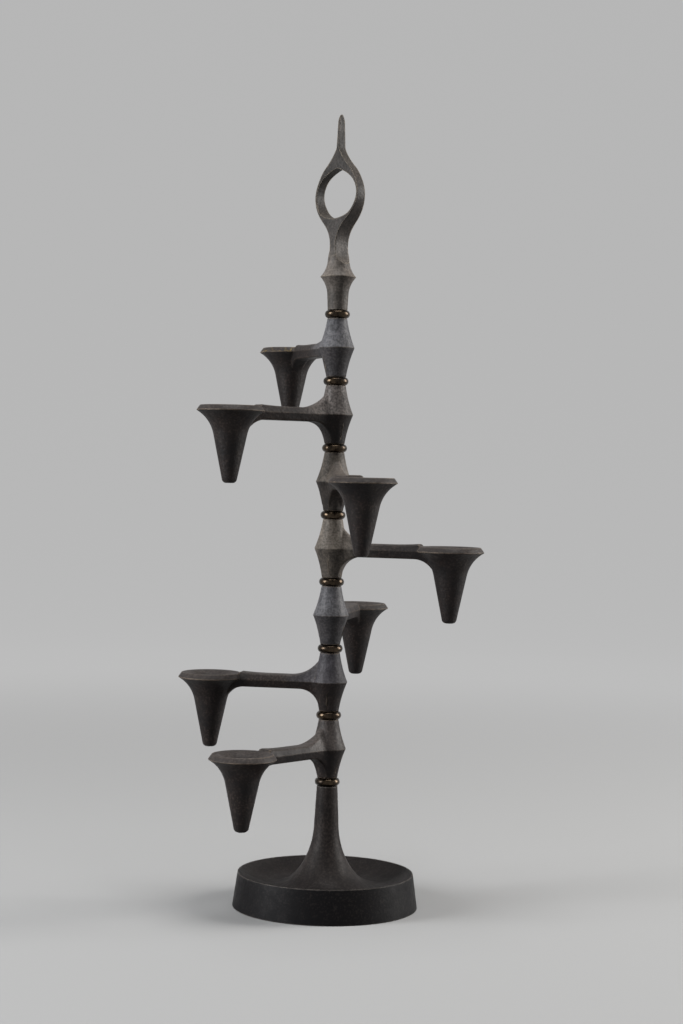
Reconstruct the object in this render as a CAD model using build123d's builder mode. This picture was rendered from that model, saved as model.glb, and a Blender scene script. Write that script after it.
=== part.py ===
"""A cast-iron candle tree: seven swivelling socket arms and eight brass bead rings, stacked on one tie
rod between a dished base with a tapering trunk and a loop-and-spike finial.

Millimetres, Z up. The origin is on the rod's axis, in the plane that the base stands on.
"""

import os
from math import asin, cos, radians, sin, sqrt, tan

from build123d import *

# Stack: how many arms, how they are spread round the rod, and how high a hub and a ring are
arm_azimuths = [228.0, 170.0, 77.0, 343.0, 283.0, 214.0, 113.0]  # degrees from +X, lowest arm first
hub_height = 49.0
ring_height = 7.0
neck_radius = 8.3  # both ends of every hub, and the ends that face them

# Tie rod and what holds it
rod_radius = 4.0
running_clearance = 0.05  # radial, between the rod and what turns on it
rod_in_finial = 22.0
drill_point_room = 2.5  # left above the rod's end in the finial
nut_across_flats = 13.0
nut_height = 6.5
rod_past_nut = 1.4
washer_radius = 9.5
washer_thickness = 1.6
end_chamfer = 0.8

# Base casting
foot_radius = 77.7
rim_radius = 73.6
rim_height = 28.7
rim_land = 0.7  # width of the narrow flat on the rim
dish_depth = 11.5
dish_valley_radius = 48.0
trunk_height = 101.4
trunk_top_radius = 8.7
trunk_flare_radius = 10.2  # where the flare into the dish starts
trunk_flare_height = 72.0
foot_land = 7.0  # width of the ring that the base stands on
base_wall = 5.5
boss_radius = 15.0
boss_recess = 10.6  # from the ground up to the face that the washer bears on

# Arm casting: hub, bar and tray meet at one parting plane
hub_edge_radius = 15.0
hub_waist_radius = 10.8  # halfway from the parting edge to the neck
arm_length = 102.0  # from the rod's axis to the socket's axis
bar_width = 17.0  # at the parting plane
bar_top = 5.0
bar_top_rise = 4.5  # how far the bar's top would climb from mid-length to the socket's axis
bar_bottom = 6.5
bar_draft_above = 24.0  # degrees
bar_draft_below = 14.0
bar_crown_radius = 2.5
bar_keel_radius = 2.0
hub_sweep_radius = 30.0  # of the bar's top, where it climbs the hub
hub_sweep_rise = 14.0
hub_fillet_below = 17.5
hub_fillet_beside = 12.0
socket_fillet = 18.0
root_depth = 0.8  # how far a fillet's end is sunk in the hub or the socket

# Tray and candle socket
tray_radius = 27.9
tray_rim_height = 4.2
tray_rim_radius = 24.9
tray_rim_land = 0.8
step_radius = 25.9  # the bar's top is cut off round the tray at this radius
step_rounding = 1.9
socket_length = 58.7  # from the parting plane to the nose
socket_shoulder_depth = 19.0  # where the flare runs into the straight taper
socket_shoulder_radius = 13.8
socket_taper = 11.8  # degrees from the axis, on the outside
socket_wall = 3.2
nose_rounding = 3.6
core_rounding = 2.0
seat_radius = 11.1
seat_depth = 9.0
seat_length = 11.0

# Bead rings
ring_radius = 10.5

# Finial
finial_edge_height = 27.6  # above its foot
finial_waist_height = 13.0
finial_waist_radius = 8.9
finial_shoulder_radius = 9.0
finial_shoulder_rise = 15.0
stem_radius = 8.8
stem_height = 59.0  # above its foot, where the loop begins
stem_half_width = 3.1  # at its thinnest
loop_half_width = 24.8
loop_height = 77.0  # from the stem to the lower end of the spike
loop_half_depth = 4.4
loop_wall = 1.7  # beside the eye, where the loop is widest
eye_foot = 16.8  # above the stem
eye_headroom = 18.4  # from the eye up to the spike
spike_length = 27.0
spike_half_width = 1.4
spike_tip_half_width = 0.9
loop_turn = -45.0  # degrees about the rod's axis

# The stem's outline on one side: shares of the way down to the foot's edge, then of its half width
stem_outline_shares = [(0.51, 1.7), (0.29, 1.1), (0.13, 1.0)]
# The loop's outline on one side: shares of its height, then of its half width
loop_outline_shares = [
    (0.0, 0.15),
    (0.1, 0.28),
    (0.22, 0.605),
    (0.34, 0.885),
    (0.485, 1.0),
    (0.63, 0.875),
    (0.745, 0.65),
    (0.86, 0.31),
]
# The eye's outline on one side: shares of its height, then of its half width
eye_outline_shares = [(0.1, 0.68), (0.25, 0.89), (0.47, 1.0), (0.7, 0.88), (0.86, 0.6)]
# Stem, loop and spike seen edge on: shares of their own lengths, then of the loop's half depth
stem_depth_shares = [(0.49, 2.05), (0.15, 1.76)]
loop_depth_shares = [
    (0.0, 1.74),
    (0.22, 1.62),
    (0.34, 1.28),
    (0.48, 1.02),
    (0.6, 0.95),
    (0.8, 0.92),
    (1.0, 0.86),
]
spike_depth_shares = [(0.68, 0.7), (0.91, 0.42)]
# How strongly these outlines keep to their end directions
end_pull_shares = (0.5, 0.5)

# A face whose normal leans less than this to the side was cut by the bar's side outline
outline_face_share = 0.01

cut_overrun = 1.0

# Worked out from the sizes above
arm_count = len(arm_azimuths)
ring_count = arm_count + 1
stack_pitch = hub_height + ring_height
hub_half_height = hub_height / 2
ring_half_height = ring_height / 2
bore_radius = rod_radius + running_clearance
arm_planes = [trunk_height + ring_height + hub_half_height + n * stack_pitch for n in range(arm_count)]
ring_planes = [trunk_height + ring_half_height + n * stack_pitch for n in range(ring_count)]
finial_foot = trunk_height + ring_count * ring_height + arm_count * hub_height
washer_foot = boss_recess - washer_thickness
nut_foot = washer_foot - nut_height
rod_foot = nut_foot - rod_past_nut
rod_top = finial_foot + rod_in_finial

os.makedirs("parts", exist_ok=True)


def keep(piece, name):
    """Label a finished piece and write it to its own file."""
    piece.part.label = name
    export_step(piece.part, f"parts/{name}.step")


def cylinder_between(radius, low, high, mode=Mode.ADD):
    """Add or cut a plain cylinder on the rod's axis between two heights."""
    with Locations((0, 0, low)):
        Cylinder(radius, high - low, align=(Align.CENTER, Align.CENTER, Align.MIN), mode=mode)


# Base: a shallow dish whose middle sweeps up into the trunk, hollow underneath round a central boss
dish_floor = rim_height - dish_depth
rim_inner_radius = rim_radius - rim_land
flare_width = dish_valley_radius - trunk_flare_radius
flare_rise = trunk_flare_height - dish_floor
dish_run = rim_inner_radius - dish_valley_radius
dish_radius = (dish_run**2 + dish_depth**2) / (2 * dish_depth)
dish_angle = asin(dish_run / dish_radius)
hollow_radius = foot_radius - foot_land
hollow_roof = dish_floor - base_wall
hollow_side_height = rim_height - dish_depth - base_wall / 2
with BuildPart() as base:
    with BuildSketch(Plane.XZ):
        with BuildLine():
            Polyline((0, 0), (foot_radius, 0), (rim_radius, rim_height), (rim_inner_radius, rim_height))
            ThreePointArc(
                (rim_inner_radius, rim_height),
                (
                    dish_valley_radius + dish_radius * sin(dish_angle / 2),
                    dish_floor + dish_radius * (1 - cos(dish_angle / 2)),
                ),
                (dish_valley_radius, dish_floor),
            )
            EllipticalCenterArc(
                (dish_valley_radius, trunk_flare_height),
                flare_width,
                flare_rise,
                start_angle=180,
                arc_size=90,
            )
            Polyline(
                (trunk_flare_radius, trunk_flare_height),
                (trunk_top_radius, trunk_height),
                (0, trunk_height),
                (0, 0),
            )
        make_face()
    revolve(axis=Axis.Z)
    with BuildSketch(Plane.XZ):
        with BuildLine():
            Polyline(
                (boss_radius, 0),
                (hollow_radius, 0),
                (hollow_radius - base_wall / 2, hollow_side_height),
                (dish_valley_radius, hollow_roof),
                (boss_radius + base_wall, hollow_roof + base_wall / 2),
                (boss_radius, hollow_roof),
                (boss_radius, 0),
            )
        make_face()
    revolve(axis=Axis.Z, mode=Mode.SUBTRACT)
    cylinder_between(boss_radius + cut_overrun, -cut_overrun, boss_recess, Mode.SUBTRACT)
    cylinder_between(bore_radius, 0, trunk_height + cut_overrun, Mode.SUBTRACT)
keep(base, "base")

# Tie rod, and the washer and nut that draw the stack together from under the base
with BuildPart() as tie_rod:
    cylinder_between(rod_radius, rod_foot, rod_top)
    chamfer(tie_rod.edges().filter_by(GeomType.CIRCLE), end_chamfer)
keep(tie_rod, "tie_rod")

with BuildPart() as base_washer:
    cylinder_between(washer_radius, washer_foot, boss_recess)
    cylinder_between(bore_radius, washer_foot, boss_recess, Mode.SUBTRACT)
keep(base_washer, "base_washer")

nut_corner_radius = nut_across_flats / sqrt(3)
with BuildPart() as base_nut:
    with BuildSketch(Plane.XY.offset(nut_foot)):
        RegularPolygon(nut_corner_radius, 6)
    extrude(amount=nut_height)
    cylinder_between(bore_radius, nut_foot, washer_foot, Mode.SUBTRACT)
    with BuildSketch(Plane.XZ):
        with BuildLine():
            Polyline(
                (0, nut_foot),
                (nut_corner_radius - end_chamfer, nut_foot),
                (nut_corner_radius, nut_foot + end_chamfer),
                (nut_corner_radius, washer_foot - end_chamfer),
                (nut_corner_radius - end_chamfer, washer_foot),
                (0, washer_foot),
                close=True,
            )
        make_face()
    revolve(axis=Axis.Z, mode=Mode.INTERSECT)
keep(base_nut, "base_nut")

# Bead rings: flat where they bear on the hubs, half round outside
ring_flat_radius = ring_radius - ring_half_height
with BuildPart() as bead:
    with BuildSketch(Plane.XZ):
        with BuildLine():
            ThreePointArc(
                (ring_flat_radius, -ring_half_height),
                (ring_radius, 0),
                (ring_flat_radius, ring_half_height),
            )
            Polyline(
                (ring_flat_radius, ring_half_height),
                (bore_radius, ring_half_height),
                (bore_radius, -ring_half_height),
                (ring_flat_radius, -ring_half_height),
            )
        make_face()
    revolve(axis=Axis.Z)
for number, height in enumerate(ring_planes, 1):
    with BuildPart() as bead_ring:
        with Locations((0, 0, height)):
            add(bead.part)
    keep(bead_ring, f"bead_ring_{number}")

# One arm, lying along +X with its parting plane at zero height
# The bar: its plan, drafted up and down from the parting plane, cut to its outline in side view
bar_half_width = bar_width / 2
plan_hub_radius = hub_edge_radius - root_depth
plan_centre_y = bar_half_width + hub_fillet_beside
plan_centre_x = sqrt((plan_hub_radius + hub_fillet_beside) ** 2 - plan_centre_y**2)
touch_share = plan_hub_radius / (plan_hub_radius + hub_fillet_beside)
touch_x = plan_centre_x * touch_share
touch_y = plan_centre_y * touch_share
taper_slope = tan(radians(socket_taper))
upper_hub_end = neck_radius + sqrt(hub_sweep_rise * (2 * hub_sweep_radius - hub_sweep_rise))
upper_hub_top = bar_top + hub_sweep_rise
lower_hub_end = neck_radius - root_depth + hub_fillet_below
socket_side = socket_shoulder_radius - (bar_bottom + socket_fillet - socket_shoulder_depth) * taper_slope
lower_socket_end = arm_length - socket_side + root_depth - socket_fillet
bar_end_top = bar_top + bar_top_rise


def drafted_plan(draft):
    """The plan of hub and bar, drawn up from the parting plane with this draft in degrees."""
    with BuildPart() as half:
        with BuildSketch(Plane.XY):
            with BuildLine():
                Line((arm_length, bar_half_width), (plan_centre_x, bar_half_width))
                RadiusArc((plan_centre_x, bar_half_width), (touch_x, touch_y), hub_fillet_beside)
                ThreePointArc((touch_x, touch_y), (-plan_hub_radius, 0), (touch_x, -touch_y))
                RadiusArc((touch_x, -touch_y), (plan_centre_x, -bar_half_width), hub_fillet_beside)
                Polyline(
                    (plan_centre_x, -bar_half_width),
                    (arm_length, -bar_half_width),
                    (arm_length, bar_half_width),
                )
            make_face()
        extrude(amount=hub_half_height, taper=draft)
    return half.part


upper_half = drafted_plan(bar_draft_above)
lower_half = drafted_plan(bar_draft_below)
with BuildPart() as bar:
    add(upper_half)
    mirror(lower_half, about=Plane.XY)
    with BuildSketch(Plane.XZ):
        with BuildLine():
            Line((0, upper_hub_top), (neck_radius, upper_hub_top))
            RadiusArc((neck_radius, upper_hub_top), (upper_hub_end, bar_top), -hub_sweep_radius)
            Line((upper_hub_end, bar_top), (arm_length / 2, bar_top))
            TangentArc((arm_length / 2, bar_top), (arm_length, bar_end_top), tangent=(1, 0))
            Polyline(
                (arm_length, bar_end_top),
                (arm_length, -bar_bottom - socket_fillet),
                (lower_socket_end + socket_fillet, -bar_bottom - socket_fillet),
            )
            RadiusArc(
                (lower_socket_end + socket_fillet, -bar_bottom - socket_fillet),
                (lower_socket_end, -bar_bottom),
                -socket_fillet,
            )
            Line((lower_socket_end, -bar_bottom), (lower_hub_end, -bar_bottom))
            RadiusArc(
                (lower_hub_end, -bar_bottom),
                (lower_hub_end - hub_fillet_below, -bar_bottom - hub_fillet_below),
                -hub_fillet_below,
            )
            Polyline(
                (lower_hub_end - hub_fillet_below, -bar_bottom - hub_fillet_below),
                (0, -bar_bottom - hub_fillet_below),
                (0, upper_hub_top),
            )
        make_face()
    extrude(amount=tray_radius, both=True, mode=Mode.INTERSECT)
    for side, radius in ((1, bar_crown_radius), (-1, bar_keel_radius)):
        outline_faces = bar.faces().filter_by(lambda face: abs(face.normal_at().Y) < outline_face_share)
        ridges = [
            edge
            for edge in outline_faces.edges()
            if neck_radius < edge.center().X < arm_length - socket_shoulder_radius
            and abs(edge.center().Y) > outline_face_share
            and edge.center().Z * side > 0
        ]
        fillet(ridges, radius)

# The whole arm: hub and tray turned about their own axes, the bar between them, then the openings
nose_radius = socket_shoulder_radius - (socket_length - socket_shoulder_depth) * taper_slope
socket_shoulder = (socket_shoulder_radius, -socket_shoulder_depth)
seat_foot = -seat_depth - seat_length
core_foot = socket_wall - socket_length
core_inset = socket_wall / cos(radians(socket_taper))
core_top_radius = socket_shoulder_radius + (seat_foot + socket_shoulder_depth) * taper_slope - core_inset
core_foot_radius = nose_radius + socket_wall * taper_slope - core_inset
mouth_radius = tray_rim_radius - tray_rim_land
step_back_radius = step_radius + step_rounding
socket_plane = Plane.XZ.shift_origin((arm_length, 0, 0))
socket_axis = Axis((arm_length, 0, 0), (0, 0, 1))
with BuildPart() as arm:
    with BuildSketch(Plane.XZ):
        with BuildLine():
            ThreePointArc(
                (neck_radius, -hub_half_height),
                (hub_waist_radius, -hub_half_height / 2),
                (hub_edge_radius, 0),
            )
            ThreePointArc(
                (hub_edge_radius, 0),
                (hub_waist_radius, hub_half_height / 2),
                (neck_radius, hub_half_height),
            )
            Polyline(
                (neck_radius, hub_half_height),
                (0, hub_half_height),
                (0, -hub_half_height),
                (neck_radius, -hub_half_height),
            )
        make_face()
    revolve(axis=Axis.Z)
    add(bar.part)
    with BuildSketch(socket_plane):
        with BuildLine():
            Line((0, tray_rim_height), (step_radius, tray_rim_height))
            CenterArc((step_back_radius, tray_rim_height), step_rounding, 90, 90)
            Polyline(
                (step_back_radius, tray_rim_height + step_rounding),
                (step_back_radius, hub_half_height),
                (0, hub_half_height),
                (0, tray_rim_height),
            )
        make_face()
    revolve(axis=socket_axis, mode=Mode.SUBTRACT)
    with BuildSketch(socket_plane) as socket_outside:
        with BuildLine():
            Polyline((0, tray_rim_height), (tray_rim_radius, tray_rim_height), (tray_radius, 0))
            taper = Line((nose_radius, -socket_length), socket_shoulder)
            TangentArc(socket_shoulder, (tray_radius, 0), tangent=taper % 1)
            Polyline((nose_radius, -socket_length), (0, -socket_length), (0, tray_rim_height))
        make_face()
        fillet(socket_outside.vertices().group_by(Axis.Y)[0].sort_by(Axis.X)[-1], nose_rounding)
    revolve(axis=socket_axis)
    with BuildSketch(socket_plane) as socket_inside:
        with BuildLine():
            Line((0, tray_rim_height), (mouth_radius, tray_rim_height))
            TangentArc((seat_radius, -seat_depth), (mouth_radius, tray_rim_height), tangent=(0, 1))
            Polyline(
                (seat_radius, -seat_depth),
                (seat_radius, seat_foot),
                (core_top_radius, seat_foot),
                (core_foot_radius, core_foot),
                (0, core_foot),
                (0, tray_rim_height),
            )
        make_face()
        fillet(socket_inside.vertices().group_by(Axis.Y)[0].sort_by(Axis.X)[-1], core_rounding)
    revolve(axis=socket_axis, mode=Mode.SUBTRACT)
    cylinder_between(bore_radius, -hub_half_height, hub_half_height, Mode.SUBTRACT)
for number, (height, azimuth) in enumerate(zip(arm_planes, arm_azimuths), 1):
    with BuildPart() as candle_arm:
        with Locations(Location((0, 0, height), (0, 0, azimuth))):
            add(arm.part)
    keep(candle_arm, f"candle_arm_{number}")

# Finial: a turned foot and stem, scooped out on four sides into a blade that is pierced by an eye
finial_waist = finial_foot + finial_waist_height
finial_edge = finial_foot + finial_edge_height
loop_foot = finial_foot + stem_height
edge_drop = stem_height - finial_edge_height
shoulder_drop = edge_drop - finial_shoulder_rise
scoop_drop = shoulder_drop + finial_shoulder_rise / 2
flat_drop = shoulder_drop + finial_shoulder_rise / 3
eye_half_width = loop_half_width - loop_wall
eye_top = loop_height - eye_headroom
eye_height = eye_top - eye_foot
spike_top = loop_height + spike_length
cut_top = spike_top + cut_overrun
cut_radius = hub_edge_radius + cut_overrun
cut_reach = loop_half_width + cut_radius
turn = radians(loop_turn)
across = Vector(cos(turn), sin(turn), 0)
through = Vector(-sin(turn), cos(turn), 0)
loop_plane = Plane((0, 0, loop_foot), x_dir=across, z_dir=-through)
loop_edge_plane = Plane((0, 0, loop_foot), x_dir=through, z_dir=across)
blade_outline = [
    (cut_radius, -scoop_drop),
    *[(half * stem_half_width, -down * edge_drop) for down, half in stem_outline_shares],
    *[(half * loop_half_width, up * loop_height) for up, half in loop_outline_shares],
    (spike_half_width, loop_height),
]
eye_outline = [
    (0, eye_foot),
    *[(half * eye_half_width, eye_foot + up * eye_height) for up, half in eye_outline_shares],
    (0, eye_top),
]
blade_depths = [
    (cut_radius, -flat_drop),
    *[(half * loop_half_depth, -down * edge_drop) for down, half in stem_depth_shares],
    *[(half * loop_half_depth, up * loop_height) for up, half in loop_depth_shares],
    *[(half * loop_half_depth, loop_height + up * spike_length) for up, half in spike_depth_shares],
    (0, spike_top),
]
with BuildPart() as loop:
    with BuildSketch(loop_plane):
        with BuildLine():
            Polyline((0, -edge_drop), (cut_radius, -edge_drop), blade_outline[0])
            Spline(*blade_outline, tangents=((-1, 0), (0, 1)), tangent_scalars=end_pull_shares)
            Polyline(blade_outline[-1], (spike_tip_half_width, cut_top), (0, cut_top), (0, -edge_drop))
        make_face()
        mirror(about=Plane.YZ)
    extrude(amount=cut_radius, both=True)
    with BuildSketch(loop_edge_plane):
        with BuildLine():
            Polyline((0, -edge_drop), (cut_radius, -edge_drop), blade_depths[0])
            Spline(*blade_depths, tangents=((-1, 0), (-1, 0)), tangent_scalars=end_pull_shares)
            Line((0, spike_top), (0, -edge_drop))
        make_face()
        mirror(about=Plane.YZ)
    extrude(amount=loop_half_width + cut_overrun, both=True, mode=Mode.INTERSECT)
    with BuildSketch(loop_plane):
        with BuildLine():
            Spline(*eye_outline, tangents=((1, 0), (-1, 0)), tangent_scalars=end_pull_shares)
            mirror(about=Plane.YZ)
        make_face()
    extrude(amount=cut_radius, both=True, mode=Mode.SUBTRACT)
    with BuildSketch(loop_plane):
        with BuildLine():
            Line((0, -edge_drop), (hub_edge_radius, -edge_drop))
            TangentArc(
                (finial_shoulder_radius, -shoulder_drop),
                (hub_edge_radius, -edge_drop),
                tangent=(finial_shoulder_radius - stem_radius, -shoulder_drop),
            )
            Polyline(
                (finial_shoulder_radius, -shoulder_drop),
                (stem_radius, 0),
                (cut_reach, 0),
                (cut_reach, cut_top),
                (0, cut_top),
                (0, -edge_drop),
            )
        make_face()
    revolve(axis=Axis.Z, mode=Mode.INTERSECT)
with BuildPart() as finial:
    with BuildSketch(Plane.XZ):
        with BuildLine():
            flank = Line((neck_radius, finial_foot), (finial_waist_radius, finial_waist))
            TangentArc(flank @ 1, (hub_edge_radius, finial_edge), tangent=flank % 1)
            Polyline(
                (hub_edge_radius, finial_edge),
                (0, finial_edge),
                (0, finial_foot),
                (neck_radius, finial_foot),
            )
        make_face()
    revolve(axis=Axis.Z)
    add(loop.part)
    cylinder_between(bore_radius, finial_foot, rod_top + drill_point_room, Mode.SUBTRACT)
keep(finial, "finial")
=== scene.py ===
"""Finishes, studio and camera for the cast-iron candle stand.

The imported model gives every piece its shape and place. This script rounds the sharp edges of the base
and the arms, gives each casting, bead and fastener its surface and its wear, and lights the stand on a
pale floor. Lengths are metres and colours are linear.
"""

import logging
import math
from dataclasses import dataclass
from enum import Enum
from typing import ClassVar

import bpy
from mathutils import Matrix, Vector


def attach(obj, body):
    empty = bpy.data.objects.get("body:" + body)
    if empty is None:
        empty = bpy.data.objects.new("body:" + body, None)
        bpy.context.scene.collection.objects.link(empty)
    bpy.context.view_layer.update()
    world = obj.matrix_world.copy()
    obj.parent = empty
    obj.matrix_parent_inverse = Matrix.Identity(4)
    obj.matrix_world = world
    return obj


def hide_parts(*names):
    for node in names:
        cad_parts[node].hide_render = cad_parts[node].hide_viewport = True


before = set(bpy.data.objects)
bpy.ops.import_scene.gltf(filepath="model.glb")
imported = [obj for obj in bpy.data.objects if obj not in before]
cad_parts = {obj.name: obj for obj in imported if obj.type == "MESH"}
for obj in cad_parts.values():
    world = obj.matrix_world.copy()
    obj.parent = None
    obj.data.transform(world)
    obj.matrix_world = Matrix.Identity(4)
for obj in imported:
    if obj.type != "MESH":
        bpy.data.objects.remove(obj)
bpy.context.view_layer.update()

MM = 0.001

SRGB_FULL = 255
SRGB_TOE_END = 0.04045
SRGB_TOE_SLOPE = 12.92
SRGB_OFFSET = 0.055
SRGB_POWER = 2.4

Colour = tuple[float, float, float, float]
Place = tuple[float, float, float]
Span = tuple[float, float]
Value = float | tuple | bpy.types.NodeSocket

log = logging.getLogger("candle_stand")


class Metal(Enum):
    """The metals of the stand, named as in the record's material slots."""

    IRON = "iron"
    BRASS = "brass"
    STEEL = "steel"


def srgb(red: int, green: int, blue: int) -> Colour:
    """Turn a colour as seen on screen into a linear one.

    Args:
        red: The red channel, from 0 to 255.
        green: The green channel, from 0 to 255.
        blue: The blue channel, from 0 to 255.

    Returns:
        The linear colour with full alpha.
    """

    def linear(channel: int) -> float:
        share = channel / SRGB_FULL
        if share <= SRGB_TOE_END:
            return share / SRGB_TOE_SLOPE
        return ((share + SRGB_OFFSET) / (1.0 + SRGB_OFFSET)) ** SRGB_POWER

    return (linear(red), linear(green), linear(blue), 1.0)


class ShaderSheet:
    """Places shader nodes in one tree and joins their sockets."""

    step = 180.0
    mix_share, mix_under, mix_over, mix_result = 0, 6, 7, 2

    def __init__(self, tree: bpy.types.NodeTree) -> None:
        """Start with an empty sheet.

        Args:
            tree: The node tree to place nodes in.
        """
        self.tree = tree
        self.placed = 0

    def place(self, kind: str, inputs: dict | None = None, **settings: object) -> bpy.types.Node:
        """Add one node.

        Args:
            kind: The node's type, without its ShaderNode prefix.
            inputs: Socket names or numbers, each with a constant or with the socket that feeds it.
            settings: The node's own properties, set before its inputs.

        Returns:
            The new node.
        """
        node = self.tree.nodes.new(f"ShaderNode{kind}")
        node.location = (self.placed * self.step, 0.0)
        self.placed += 1
        for name, value in settings.items():
            setattr(node, name, value)
        for key, value in (inputs or {}).items():
            if isinstance(value, bpy.types.NodeSocket):
                self.tree.links.new(value, node.inputs[key])
            else:
                node.inputs[key].default_value = value
        return node

    def math(self, operation: str, *values: Value) -> bpy.types.NodeSocket:
        """Combine values.

        Args:
            operation: The Math node's operation.
            values: The values or sockets that it takes, in order.

        Returns:
            The result's socket.
        """
        return self.place("Math", dict(enumerate(values)), operation=operation).outputs[0]

    def times(self, first: Value, *others: Value) -> bpy.types.NodeSocket:
        """Multiply values.

        Args:
            first: The first value or socket.
            others: The values or sockets to multiply it with.

        Returns:
            The product's socket.
        """
        product = first
        for other in others:
            product = self.math("MULTIPLY", product, other)
        return product

    def ramp(self, value: Value, low: float, high: float) -> bpy.types.NodeSocket:
        """Turn a value into a mask that rises smoothly from 0 at low to 1 at high.

        Args:
            value: The socket to read.
            low: Where the mask starts.
            high: Where the mask is full.

        Returns:
            The mask's socket.
        """
        inputs = {"Value": value, "From Min": low, "From Max": high}
        return self.place("MapRange", inputs, interpolation_type="SMOOTHSTEP").outputs["Result"]

    def span(self, value: Value, low: float, high: float) -> bpy.types.NodeSocket:
        """Spread a value from 0 to 1 over a span.

        Args:
            value: The socket to read.
            low: The result at 0.
            high: The result at 1.

        Returns:
            The result's socket.
        """
        return self.place("MapRange", {"Value": value, "To Min": low, "To Max": high}).outputs["Result"]

    def noise(self, vector: Value, scale: Value, detail: float) -> bpy.types.NodeSocket:
        """Add a soft random pattern.

        Args:
            vector: The coordinates to read.
            scale: Waves per metre.
            detail: How many finer layers it has.

        Returns:
            The pattern's socket, from 0 to 1.
        """
        inputs = {"Vector": vector, "Scale": scale, "Detail": detail}
        return self.place("TexNoise", inputs).outputs["Fac"]

    def mix(self, share: Value, under: Value, over: Value) -> bpy.types.NodeSocket:
        """Lay one colour over another.

        Args:
            share: How much of the upper colour shows.
            under: The lower colour.
            over: The upper colour.

        Returns:
            The mixed colour's socket.
        """
        inputs = {self.mix_share: share, self.mix_under: under, self.mix_over: over}
        return self.place("Mix", inputs, data_type="RGBA").outputs[self.mix_result]

    def length(self, vector: Value) -> bpy.types.NodeSocket:
        """Measure a vector.

        Args:
            vector: The vector's socket.

        Returns:
            The length's socket.
        """
        return self.place("VectorMath", {0: vector}, operation="LENGTH").outputs["Value"]

    def use(self, group: bpy.types.ShaderNodeTree, inputs: dict) -> bpy.types.Node:
        """Place a shared effect.

        Args:
            group: The effect's node group.
            inputs: Its named inputs.

        Returns:
            The group node.
        """
        return self.place("Group", inputs, node_tree=group)

    def bump(self, height: Value, strength: float, depth: float, **extra: Value) -> bpy.types.NodeSocket:
        """Turn a height into a bumpy normal.

        Args:
            height: The height's socket, from 0 to 1.
            strength: How much of the bump shows.
            depth: How deep a full height is.
            extra: Further inputs of the Bump node, such as the Normal that lies under the bump.

        Returns:
            The normal's socket.
        """
        inputs = {"Height": height, "Strength": strength, "Distance": depth, **extra}
        return self.place("Bump", inputs).outputs["Normal"]

    def surface(self, inputs: dict) -> None:
        """End the sheet in one shader.

        Args:
            inputs: The Principled shader's inputs.
        """
        shader = self.place("BsdfPrincipled", inputs)
        self.place("OutputMaterial", {"Surface": shader.outputs[0]})


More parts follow.
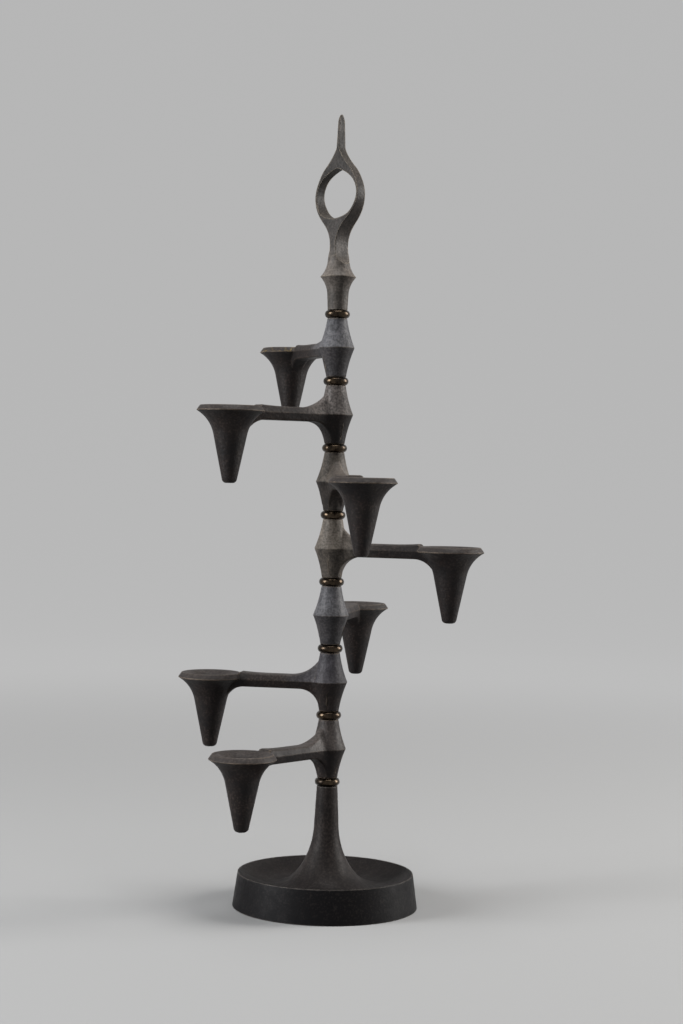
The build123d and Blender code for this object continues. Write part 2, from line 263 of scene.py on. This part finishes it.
class Effects:
    """The surface effects that several finishes share, each built once as a node group."""

    grain_detail = 3.0
    pit_scale = 0.28
    pit_detail = 2.0
    pit_depth = 0.7
    speck_scale = 1.35
    speck_detail = 4.0
    speck_limits = (0.4, 0.62)

    ray_samples = 4
    edge_limits = (0.006, 0.06)
    wear_scale = 140.0
    wear_detail = 3.0
    wear_limits = (0.35, 0.65)
    wear_patches = (0.4, 1.0)
    open_reach = 3.0
    open_limits = (0.86, 0.98)

    dust_scale = 55.0
    dust_detail = 4.0
    dust_patches = (0.35, 1.15)
    dust_slope = (0.1, 0.9)
    above_slope = (-0.22, 0.2)

    wide_detail = 3.0
    wide_weight = 0.6
    narrow_scale = 4.3
    narrow_detail = 4.0
    narrow_weight = 0.4
    mottle_limits = (0.34, 0.66)

    def __init__(self) -> None:
        """Build every group."""
        self.grain = self._grain()
        self.edge = self._edge()
        self.dust = self._dust()
        self.mottle = self._mottle()

    @staticmethod
    def _open(name: str, inputs: list[str], outputs: list[str]) -> tuple:
        """Start a group.

        Args:
            name: The group's name.
            inputs: Names of its inputs. Vector is made a vector socket, and the others are values.
            outputs: Names of its outputs. Normal is made a vector socket, and the others are values.

        Returns:
            The tree, a sheet on it, its inputs' sockets and its output node.
        """
        tree = bpy.data.node_groups.new(name, "ShaderNodeTree")
        for way, labels in (("INPUT", inputs), ("OUTPUT", outputs)):
            for label in labels:
                kind = "NodeSocketVector" if label in ("Vector", "Normal") else "NodeSocketFloat"
                tree.interface.new_socket(label, in_out=way, socket_type=kind)
        source = tree.nodes.new("NodeGroupInput")
        target = tree.nodes.new("NodeGroupOutput")
        return tree, ShaderSheet(tree), source.outputs, target

    def _grain(self) -> bpy.types.ShaderNodeTree:
        """Build sand grain: a pitted height and scattered bright specks.

        Returns:
            The group.
        """
        tree, sheet, given, target = self._open("sand_grain", ["Vector", "Scale"], ["Height", "Speck"])
        vector, scale = given["Vector"], given["Scale"]
        fine = sheet.noise(vector, scale, self.grain_detail)
        coarse = sheet.noise(vector, sheet.times(scale, self.pit_scale), self.pit_detail)
        height = sheet.math("MULTIPLY_ADD", coarse, self.pit_depth, fine)
        flecks = sheet.noise(vector, sheet.times(scale, self.speck_scale), self.speck_detail)
        tree.links.new(height, target.inputs["Height"])
        tree.links.new(sheet.ramp(flecks, *self.speck_limits), target.inputs["Speck"])
        return tree

    def _edge(self) -> bpy.types.ShaderNodeTree:
        """Build wear along what stands out sharply, in patches, and the normal that rounds every edge.

        Returns:
            The group.
        """
        tree, sheet, given, target = self._open("worn_edge", ["Vector", "Radius"], ["Mask", "Normal"])
        vector, radius = given["Vector"], given["Radius"]
        rounded = sheet.place("Bevel", {"Radius": radius}, samples=self.ray_samples).outputs["Normal"]
        plain = sheet.place("NewGeometry").outputs["Normal"]
        match = sheet.place("VectorMath", {0: rounded, 1: plain}, operation="DOT_PRODUCT").outputs["Value"]
        edge = sheet.ramp(sheet.math("SUBTRACT", 1.0, match), *self.edge_limits)
        patches = sheet.ramp(sheet.noise(vector, self.wear_scale, self.wear_detail), *self.wear_limits)
        reach = sheet.times(radius, self.open_reach)
        air = sheet.place(
            "AmbientOcclusion", {"Distance": reach}, samples=self.ray_samples, only_local=True
        )
        standing_out = sheet.ramp(air.outputs["AO"], *self.open_limits)
        worn = sheet.times(edge, standing_out, sheet.span(patches, *self.wear_patches))
        tree.links.new(worn, target.inputs["Mask"])
        tree.links.new(rounded, target.inputs["Normal"])
        return tree

    def _dust(self) -> bpy.types.ShaderNodeTree:
        """Build dust that settles in soft patches on what faces up, and a mask of what leans up at all.

        Returns:
            The group.
        """
        tree, sheet, given, target = self._open("settled_dust", ["Vector"], ["Mask", "Above"])
        normal = sheet.place("NewGeometry").outputs["Normal"]
        up = sheet.place("SeparateXYZ", {0: normal}).outputs["Z"]
        cover = sheet.noise(given["Vector"], self.dust_scale, self.dust_detail)
        settled = sheet.times(sheet.ramp(up, *self.dust_slope), sheet.span(cover, *self.dust_patches))
        tree.links.new(settled, target.inputs["Mask"])
        tree.links.new(sheet.ramp(up, *self.above_slope), target.inputs["Above"])
        return tree

    def _mottle(self) -> bpy.types.ShaderNodeTree:
        """Build slow uneven tone, as old wax and rust leave it.

        Returns:
            The group.
        """
        tree, sheet, given, target = self._open("mottle", ["Vector", "Scale"], ["Value"])
        vector, scale = given["Vector"], given["Scale"]
        wide = sheet.noise(vector, scale, self.wide_detail)
        narrow = sheet.noise(vector, sheet.times(scale, self.narrow_scale), self.narrow_detail)
        both = sheet.math(
            "ADD", sheet.times(wide, self.wide_weight), sheet.times(narrow, self.narrow_weight)
        )
        tree.links.new(sheet.ramp(both, *self.mottle_limits), target.inputs["Value"])
        return tree


def start_material(name: str) -> tuple[bpy.types.Material, ShaderSheet]:
    """Make an empty node material.

    Args:
        name: The material's name.

    Returns:
        The material, and a sheet on its tree.
    """
    material = bpy.data.materials.new(name)
    material.use_nodes = True
    material.node_tree.nodes.clear()
    return material, ShaderSheet(material.node_tree)


@dataclass(frozen=True)
class IronTone:
    """How one casting has aged, with painted top light in its film: its colours, and how much of each shows
    from 0 to 1.
    """

    body: Colour = srgb(30, 23, 21)
    shade: Colour = srgb(15, 12, 13)
    # Pale film, real near the column, but kept off faces that lean down: partly painted top light, with
    # painted shade below.
    film_and_top_light: Colour = srgb(126, 122, 119)
    film_and_top_light_share: float = 0.5
    film_share_in_painted_shade_below: float = 0.0
    dust: Colour = srgb(104, 97, 93)
    dust_share: float = 0.5
    fleck: Colour = srgb(94, 82, 76)
    fleck_share: float = 0.22
    wear: Colour = srgb(146, 130, 113)
    wear_share: float = 0.85
    speck_share: float = 0.5
    stain: Colour = srgb(140, 118, 66)
    stain_share: float = 0.0


@dataclass(frozen=True)
class CastIron:
    """Sand-cast iron, blackened, with a pale film near the column that is partly painted top light and
    thins to painted shade on faces that lean down, settled dust and worn edges.
    """

    metal: ClassVar[Metal] = Metal.IRON
    level: ClassVar[Place] = (1.0, 1.0, 0.0)

    tone: IronTone
    mottle_scale: float = 34.0
    film_inside: float = 16.0 * MM
    film_outside: float = 46.0 * MM
    film_patches: Span = (0.45, 1.0)
    film_ceiling: float = 0.0
    film_fade: float = 35.0 * MM
    film_cleared: Span = (1.0, 0.12)
    fleck_limits: Span = (0.7, 1.0)
    dust_on_grain: Span = (0.6, 1.0)
    stain_scale: float = 240.0
    stain_detail: float = 5.0
    stain_limits: Span = (0.5, 0.72)
    stain_inside: float = 72.0 * MM
    stain_edge: float = 1.1
    edge_radius: float = 1.4 * MM
    grain_scale: float = 430.0
    grain_depth: float = 0.8 * MM
    bump_strength: float = 0.5
    roughness: Span = (0.6, 0.46)
    gloss: float = 0.2

    def material(self, prefix: str, effects: Effects) -> bpy.types.Material:
        """Build the finish.

        Args:
            prefix: The material's name before its metal.
            effects: The shared effects.

        Returns:
            The material.
        """
        tone = self.tone
        material, sheet = start_material(f"{prefix}_{self.metal.value}")
        place = sheet.place("TexCoord").outputs["Object"]
        grain = sheet.use(effects.grain, {"Vector": place, "Scale": self.grain_scale})
        mottle = sheet.use(effects.mottle, {"Vector": place, "Scale": self.mottle_scale}).outputs["Value"]
        dust = sheet.use(effects.dust, {"Vector": place})
        edge = sheet.use(effects.edge, {"Vector": place, "Radius": self.edge_radius})
        speck, above = grain.outputs["Speck"], dust.outputs["Above"]
        flat = sheet.place("VectorMath", {0: place, 1: self.level}, operation="MULTIPLY").outputs[0]
        radius = sheet.length(flat)

        # The film is real near the column but scaled by how far each face leans up: painted top light
        # above, painted shade below.
        film_and_top_light = sheet.times(
            sheet.math("SUBTRACT", 1.0, sheet.ramp(radius, self.film_inside, self.film_outside)),
            sheet.span(mottle, *self.film_patches),
            sheet.span(above, tone.film_share_in_painted_shade_below, 1.0),
            sheet.span(speck, 1.0 - tone.speck_share, 1.0),
            tone.film_and_top_light_share,
        )
        if self.film_ceiling:
            height = sheet.place("SeparateXYZ", {0: place}).outputs["Z"]
            cleared = sheet.ramp(height, self.film_ceiling - self.film_fade, self.film_ceiling)
            film_and_top_light = sheet.times(film_and_top_light, sheet.span(cleared, *self.film_cleared))
        colour = sheet.mix(film_and_top_light, sheet.mix(mottle, tone.shade, tone.body), tone.film_and_top_light)

        flecks = sheet.times(sheet.ramp(speck, *self.fleck_limits), mottle, tone.fleck_share)
        colour = sheet.mix(flecks, colour, tone.fleck)
        settled = sheet.times(dust.outputs["Mask"], sheet.span(speck, *self.dust_on_grain), tone.dust_share)
        colour = sheet.mix(settled, colour, tone.dust)
        if tone.stain_share:
            pattern = sheet.noise(place, self.stain_scale, self.stain_detail)
            spots = sheet.ramp(pattern, *self.stain_limits)
            outer = sheet.ramp(radius, self.stain_inside, self.stain_inside * self.stain_edge)
            colour = sheet.mix(sheet.times(spots, outer, above, tone.stain_share), colour, tone.stain)
        colour = sheet.mix(sheet.times(edge.outputs["Mask"], tone.wear_share), colour, tone.wear)

        height = grain.outputs["Height"]
        normal = sheet.bump(height, self.bump_strength, self.grain_depth, Normal=edge.outputs["Normal"])
        sheet.surface(
            {
                "Base Color": colour,
                "Roughness": sheet.span(mottle, *self.roughness),
                "Normal": normal,
                "Specular IOR Level": self.gloss,
            }
        )
        return material


@dataclass(frozen=True)
class AgedBrass:
    """Dark brass, bright only where hands have rubbed it."""

    metal: ClassVar[Metal] = Metal.BRASS

    dark: Colour = srgb(38, 33, 29)
    rubbed: Colour = srgb(74, 63, 51)
    mottle_scale: float = 120.0
    roughness: Span = (0.32, 0.2)
    metallic: float = 1.0
    grain_scale: float = 1400.0
    grain_depth: float = 0.1 * MM
    bump_strength: float = 0.06

    def material(self, prefix: str, effects: Effects) -> bpy.types.Material:
        """Build the finish.

        Args:
            prefix: The material's name before its metal.
            effects: The shared effects.

        Returns:
            The material.
        """
        material, sheet = start_material(f"{prefix}_{self.metal.value}")
        place = sheet.place("TexCoord").outputs["Object"]
        mottle = sheet.use(effects.mottle, {"Vector": place, "Scale": self.mottle_scale}).outputs["Value"]
        grain = sheet.use(effects.grain, {"Vector": place, "Scale": self.grain_scale})
        sheet.surface(
            {
                "Base Color": sheet.mix(mottle, self.dark, self.rubbed),
                "Roughness": sheet.span(mottle, *self.roughness),
                "Normal": sheet.bump(grain.outputs["Height"], self.bump_strength, self.grain_depth),
                "Metallic": self.metallic,
            }
        )
        return material


@dataclass(frozen=True)
class TurnedSteel:
    """Plain steel with a fine grain and a little rust."""

    metal: ClassVar[Metal] = Metal.STEEL

    clean: Colour = srgb(150, 149, 148)
    rust: Colour = srgb(96, 66, 48)
    rust_limits: Span = (0.55, 1.0)
    mottle_scale: float = 90.0
    roughness: Span = (0.32, 0.7)
    metallic: Span = (1.0, 0.3)
    grain_scale: float = 2200.0
    grain_depth: float = 0.1 * MM
    bump_strength: float = 0.15

    def material(self, prefix: str, effects: Effects) -> bpy.types.Material:
        """Build the finish.

        Args:
            prefix: The material's name before its metal.
            effects: The shared effects.

        Returns:
            The material.
        """
        material, sheet = start_material(f"{prefix}_{self.metal.value}")
        place = sheet.place("TexCoord").outputs["Object"]
        mottle = sheet.use(effects.mottle, {"Vector": place, "Scale": self.mottle_scale}).outputs["Value"]
        rusted = sheet.ramp(mottle, *self.rust_limits)
        grain = sheet.use(effects.grain, {"Vector": place, "Scale": self.grain_scale})
        sheet.surface(
            {
                "Base Color": sheet.mix(rusted, self.clean, self.rust),
                "Roughness": sheet.span(rusted, *self.roughness),
                "Metallic": sheet.span(rusted, *self.metallic),
                "Normal": sheet.bump(grain.outputs["Height"], self.bump_strength, self.grain_depth),
            }
        )
        return material


def coat(piece: bpy.types.Object, material: bpy.types.Material) -> None:
    """Give every material slot of a piece the same finish, and report it.

    Args:
        piece: The piece.
        material: The finish.
    """
    for slot in piece.material_slots:
        slot.material = material
    log.info("coated %s with %s", piece.name, material.name)


@dataclass(frozen=True)
class SoftCasting:
    """A packed casting with its sharp edges rounded, as a sand mould leaves them."""

    node: str
    body: str
    rounding: float = 0.45 * MM
    rounding_steps: int = 2
    sharp_degrees: float = 28.0
    smooth_degrees: float = 50.0
    merge_distance: float = 0.01 * MM

    def build(self, material: bpy.types.Material) -> None:
        """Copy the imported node, round the copy's edges and let it stand for the node.

        Args:
            material: The copy's finish.
        """
        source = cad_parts[self.node]
        piece = bpy.data.objects.new(f"{self.node}_casting", source.data.copy())
        piece.data.transform(source.matrix_world)
        bpy.context.scene.collection.objects.link(piece)
        bpy.ops.object.select_all(action="DESELECT")
        piece.select_set(True)
        bpy.context.view_layer.objects.active = piece
        bpy.ops.object.mode_set(mode="EDIT")
        bpy.ops.mesh.select_mode(type="EDGE")
        bpy.ops.mesh.select_all(action="SELECT")
        bpy.ops.mesh.remove_doubles(threshold=self.merge_distance)
        bpy.ops.mesh.customdata_custom_splitnormals_clear()
        bpy.ops.mesh.select_all(action="DESELECT")
        bpy.ops.mesh.edges_select_sharp(sharpness=math.radians(self.sharp_degrees))
        bpy.ops.mesh.bevel(offset=self.rounding, segments=self.rounding_steps, affect="EDGES")
        bpy.ops.mesh.select_all(action="SELECT")
        bpy.ops.mesh.normals_make_consistent(inside=False)
        bpy.ops.object.mode_set(mode="OBJECT")
        bpy.ops.object.shade_smooth_by_angle(angle=math.radians(self.smooth_degrees))
        weigh = piece.modifiers.new("weigh_normals", "WEIGHTED_NORMAL")
        weigh.keep_sharp = True
        bpy.ops.object.modifier_apply(modifier=weigh.name)
        coat(piece, material)
        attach(piece, self.body)
        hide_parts(self.node)


@dataclass(frozen=True)
class BaseAndRod:
    """The base casting, and the rod, washer and nut that hold the stack on it."""

    film_reach: float = 34.0 * MM
    grain_depth: float = 0.3 * MM
    gloss: float = 0.12

    def dress(self, effects: Effects) -> None:
        """Finish the base and its fasteners.

        Args:
            effects: The shared effects.
        """
        # Film on the base: partly painted top light, thinned to painted shade on faces that lean down.
        tone = IronTone(
            body=srgb(14, 12, 14),
            shade=srgb(8, 7, 9),
            film_and_top_light=srgb(76, 68, 64),
            film_and_top_light_share=0.5,
            film_share_in_painted_shade_below=0.8,
            dust=srgb(60, 54, 51),
            dust_share=0.45,
            fleck=srgb(62, 57, 54),
            wear=srgb(128, 121, 115),
        )
        iron = CastIron(
            tone, film_outside=self.film_reach, grain_depth=self.grain_depth, gloss=self.gloss
        )
        SoftCasting("base", "stand").build(iron.material("base", effects))
        steel = TurnedSteel().material("turned", effects)
        for node in ("tie_rod", "base_washer", "base_nut"):
            coat(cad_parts[node], steel)


@dataclass(frozen=True)
class CandleArm:
    """One arm with its hub, bar, tray and socket."""

    number: int
    tone: IronTone

    def dress(self, effects: Effects) -> None:
        """Finish the arm.

        Args:
            effects: The shared effects.
        """
        arm = f"candle_arm_{self.number}"
        SoftCasting(arm, arm).build(CastIron(self.tone).material(arm, effects))


@dataclass(frozen=True)
class BeadRings:
    """The brass rings between the hubs."""

    count: int = 8

    def dress(self, effects: Effects) -> None:
        """Finish every ring.

        Args:
            effects: The shared effects.
        """
        brass = AgedBrass().material("aged", effects)
        for number in range(1, self.count + 1):
            coat(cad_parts[f"bead_ring_{number}"], brass)


@dataclass(frozen=True)
class Finial:
    """The finial with its flared foot, loop and spike."""

    film_reach: float = 70.0 * MM
    loop_height: float = 572.0 * MM

    def dress(self, effects: Effects) -> None:
        """Finish the finial.

        Args:
            effects: The shared effects.
        """
        # Film on the finial: partly painted top light, thinned to painted shade on faces that lean down.
        tone = IronTone(
            body=srgb(38, 33, 30),
            shade=srgb(18, 17, 16),
            film_and_top_light=srgb(140, 132, 125),
            film_and_top_light_share=0.72,
            film_share_in_painted_shade_below=0.75,
            dust=srgb(126, 118, 110),
            dust_share=0.4,
            wear=srgb(158, 146, 131),
        )
        iron = CastIron(tone, film_outside=self.film_reach, film_ceiling=self.loop_height)
        coat(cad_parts["finial"], iron.material("finial", effects))


@dataclass(frozen=True)
class Softbox:
    """A large soft lamp, hidden from the camera and turned to the middle of the stand."""

    name: str
    place: Place
    width: float
    height: float
    watts: float
    colour: tuple[float, float, float] = (1.0, 1.0, 1.0)
    target: Place = (0.0, 0.0, 0.36)

    def build(self) -> None:
        """Hang the lamp and turn it to its target."""
        lamp = bpy.data.lights.new(self.name, "AREA")
        lamp.shape = "RECTANGLE"
        lamp.size = self.width
        lamp.size_y = self.height
        lamp.energy = self.watts
        lamp.color = self.colour
        holder = bpy.data.objects.new(self.name, lamp)
        bpy.context.scene.collection.objects.link(holder)
        aim = Vector(self.target) - Vector(self.place)
        turn = aim.to_track_quat("-Z", "Y").to_matrix().to_4x4()
        holder.matrix_world = Matrix.Translation(self.place) @ turn
        holder.visible_camera = False
        log.info("hung %s", self.name)


def softboxes() -> list[Softbox]:
    """List the studio's lamps.

    Returns:
        A cool one on the left, a warm one on the right and a white one on top.
    """
    cool, warm = (0.97, 0.985, 1.0), (1.0, 0.98, 0.95)
    return [
        Softbox("left_softbox", (-2.4, -0.9, 1.0), width=1.0, height=1.6, watts=78.0, colour=cool),
        Softbox("right_softbox", (2.45, 0.4, 1.05), width=1.0, height=1.6, watts=74.0, colour=warm),
        Softbox("top_softbox", (0.1, -0.4, 3.8), width=2.4, height=2.0, watts=100.0),
    ]


@dataclass(frozen=True)
class PhotoCamera:
    """The camera that took the photograph, fitted to it. Its angles are in degrees."""

    place: Place = (0.0, -1.679, 0.365)
    pitch: float = -1.14
    yaw: float = 0.24
    roll: float = 1.26
    focal_px: float = 2003.0
    image_height_px: float = 1024.0
    sensor_height_mm: float = 24.0
    sight: float = 100.0

    def build(self) -> None:
        """Place the camera and make it the scene's own."""
        pitch, yaw, roll = (math.radians(angle) for angle in (self.pitch, self.yaw, self.roll))
        level = Vector((math.sin(yaw), math.cos(yaw), 0.0))
        right = Vector((math.cos(yaw), -math.sin(yaw), 0.0))
        forward = level * math.cos(pitch) + Vector((0.0, 0.0, math.sin(pitch)))
        up = right.cross(forward)
        camera_right = right * math.cos(roll) + up * math.sin(roll)
        camera_up = up * math.cos(roll) - right * math.sin(roll)
        data = bpy.data.cameras.new("photo_camera")
        data.sensor_fit = "VERTICAL"
        data.sensor_height = self.sensor_height_mm
        data.lens = self.sensor_height_mm * self.focal_px / self.image_height_px
        data.clip_end = self.sight
        camera = bpy.data.objects.new("photo_camera", data)
        bpy.context.scene.collection.objects.link(camera)
        turn = Matrix((camera_right, camera_up, -forward)).transposed().to_4x4()
        camera.matrix_world = Matrix.Translation(self.place) @ turn
        bpy.context.scene.camera = camera


@dataclass(frozen=True)
class Studio:
    """A pale floor that curves up all round into a wall, soft lamps and the camera."""

    floor_radius: float = 4.5
    floor_corners: int = 96
    wall_height: float = 5.0
    wall_bend: float = 2.2
    bend_steps: int = 24
    floor_tone: Colour = (0.36, 0.36, 0.36, 1.0)
    floor_roughness: float = 0.9
    bounce_tone: Colour = (0.1, 0.1, 0.1, 1.0)
    glow_tone: Colour = (0.46, 0.46, 0.46, 1.0)
    glow_strength: float = 1.0
    glow_inside: float = 0.3
    glow_outside: float = 2.0
    no_tone: Colour = (0.0, 0.0, 0.0, 1.0)
    sky_tone: Colour = (1.0, 1.0, 1.0, 1.0)
    sky_light: float = 0.06

    def floor_material(self) -> bpy.types.Material:
        """Make the floor pale to the eye, evenly so far off, and dimmer to the light that it throws back.

        Returns:
            The material.
        """
        material, sheet = start_material("studio_floor")
        path = sheet.place("LightPath")
        seen = sheet.math("MAXIMUM", path.outputs["Is Camera Ray"], path.outputs["Is Glossy Ray"])
        seen = sheet.math("MAXIMUM", seen, path.outputs["Is Transmission Ray"])
        reach = sheet.length(sheet.place("TexCoord").outputs["Object"])
        far = sheet.ramp(reach, self.glow_inside, self.glow_outside)
        colour = sheet.mix(seen, self.bounce_tone, sheet.mix(far, self.floor_tone, self.no_tone))
        glow = sheet.mix(sheet.times(seen, far), self.no_tone, self.glow_tone)
        sheet.surface(
            {
                "Base Color": colour,
                "Roughness": self.floor_roughness,
                "Emission Color": glow,
                "Emission Strength": self.glow_strength,
            }
        )
        return material

    def build_floor(self) -> None:
        """Draw the floor as a disc, raise its rim into a wall and round the corner between them."""
        bpy.ops.object.select_all(action="DESELECT")
        bpy.ops.mesh.primitive_circle_add(
            vertices=self.floor_corners, radius=self.floor_radius, fill_type="NGON"
        )
        floor = bpy.context.active_object
        floor.name = "studio_floor"
        bpy.ops.object.mode_set(mode="EDIT")
        bpy.ops.mesh.select_mode(type="EDGE")
        bpy.ops.mesh.select_all(action="SELECT")
        bpy.ops.mesh.region_to_loop()
        bpy.ops.mesh.extrude_edges_move(TRANSFORM_OT_translate={"value": (0.0, 0.0, self.wall_height)})
        bpy.ops.object.mode_set(mode="OBJECT")
        for edge in floor.data.edges:
            ends = [floor.data.vertices[i].co.z for i in edge.vertices]
            edge.select = max(ends) < self.wall_height / 2
        bpy.ops.object.mode_set(mode="EDIT")
        bpy.ops.mesh.bevel(offset=self.wall_bend, segments=self.bend_steps)
        bpy.ops.mesh.select_all(action="SELECT")
        bpy.ops.mesh.normals_make_consistent(inside=True)
        bpy.ops.object.mode_set(mode="OBJECT")
        bpy.ops.object.shade_smooth()
        floor.data.materials.append(self.floor_material())
        log.info("built %s", floor.name)

    def build_world(self) -> None:
        """Fill the air with a little even light."""
        world = bpy.data.worlds.new("studio_air")
        world.use_nodes = True
        background = world.node_tree.nodes["Background"]
        background.inputs["Color"].default_value = self.sky_tone
        background.inputs["Strength"].default_value = self.sky_light
        bpy.context.scene.world = world

    def build(self) -> None:
        """Set up the whole studio."""
        bpy.context.scene.view_settings.view_transform = "Standard"
        self.build_floor()
        self.build_world()
        for lamp in softboxes():
            lamp.build()
        PhotoCamera().build()


def arm_tones() -> list[IronTone]:
    """List how each arm has aged, with the painted top light and painted shade in its film, the lowest
    first.

    Returns:
        One tone per arm.
    """
    cool, tan = srgb(124, 125, 130), srgb(146, 137, 126)
    # Each film is partly painted top light, and the share kept below sets the painted shade on faces that
    # lean down.
    return [
        IronTone(film_and_top_light=srgb(102, 96, 93), film_and_top_light_share=0.5),
        IronTone(film_and_top_light=srgb(100, 100, 108), film_and_top_light_share=0.55),
        IronTone(film_and_top_light=cool, film_and_top_light_share=0.72, film_share_in_painted_shade_below=0.35),
        IronTone(film_and_top_light=tan, film_and_top_light_share=0.82, film_share_in_painted_shade_below=0.5),
        IronTone(film_and_top_light=tan, film_and_top_light_share=0.6, film_share_in_painted_shade_below=0.15),
        IronTone(film_and_top_light=srgb(130, 123, 119), film_and_top_light_share=0.75, speck_share=0.65),
        IronTone(film_and_top_light=cool, film_and_top_light_share=0.8, film_share_in_painted_shade_below=0.3, stain_share=0.7),
    ]


def main() -> None:
    """Build the studio and dress every piece."""
    logging.basicConfig(level=logging.INFO, format="%(message)s")
    effects = Effects()
    Studio().build()
    BaseAndRod().dress(effects)
    for number, tone in enumerate(arm_tones(), 1):
        CandleArm(number, tone).dress(effects)
    BeadRings().dress(effects)
    Finial().dress(effects)


if __name__ == "__main__":
    main()
